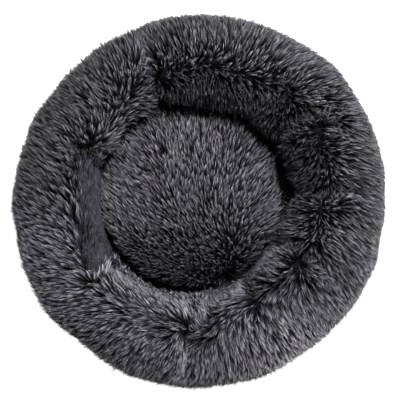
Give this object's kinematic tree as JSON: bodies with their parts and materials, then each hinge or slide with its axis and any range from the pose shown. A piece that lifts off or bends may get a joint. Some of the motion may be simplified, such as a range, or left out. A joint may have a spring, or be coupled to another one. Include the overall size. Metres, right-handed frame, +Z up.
{
  "type": "pet cushion bed",
  "caption": "Round shaggy pet bed: a stuffed ring with a zipped base round a well that holds a loose domed cushion.",
  "frame": {"origin": "middle of the flat underside, where the bed rests on the floor", "axes": "+Z up through the ring; +X to the fuller side of the ring, along the zip towards its closed end; +Y to the side away from the seam pucker"},
  "size_m": [0.5819, 0.582, 0.172],
  "materials": {
    "long_pile": "long shaggy pile, dull with soft light on the strands",
    "brushed_pile": "pile brushed flat, soft violet-grey",
    "lining": "plain non-woven cloth",
    "fibre_fill": "loose white polyester fibre",
    "wadding": "pressed white wadding",
    "base_cloth": "coarse plain weave with small grip dots",
    "binding": "folded woven tape",
    "zip_tape": "tight woven tape",
    "zip_coil": "moulded filament",
    "zip_metal": "black lacquered metal, satin",
    "cushion_under": "short brushed knit"
  },
  "bodies": {
    "ring": {"bolster_outer_cover": "long_pile", "bolster_inner_cover": "long_pile", "inner_wall_join_panel": "brushed_pile", "bolster_liner": "lining", "bolster_fill": "fibre_fill", "well_floor_panel": "lining", "base_wadding": "wadding", "base_panel_front": "base_cloth", "base_panel_rear": "base_cloth", "base_edge_binding": "binding", "zip_tape_front": "zip_tape", "zip_tape_rear": "zip_tape", "zip_coil_front": "zip_coil", "zip_coil_rear": "zip_coil", "zip_bottom_stop": "zip_metal", "zip_top_stops": "zip_metal"},
    "cushion": {"cushion_top_cover": "long_pile", "cushion_bottom_cover": "cushion_under", "cushion_fill": "fibre_fill"},
    "slider": {"zip_slider": "zip_metal"},
    "pull_tab": {"zip_pull_tab": "zip_metal"}
  },
  "joints": [
    {"name": "cushion_lift", "type": "slide", "parent": "ring", "child": "cushion", "axis": [0, 0, 1], "range_m": [0, 0.2]},
    {"name": "zip_run", "type": "slide", "parent": "ring", "child": "slider", "axis": [-1, 0, 0], "range_m": [0, 0.24], "deforming": ["zip_coil_front", "zip_coil_rear"]},
    {"name": "tab_swing", "type": "hinge", "parent": "slider", "child": "pull_tab", "pos_m": [0.119, 0, 0.0015], "axis": [0, -1, 0], "range_deg": [0, 160]}
  ]
}
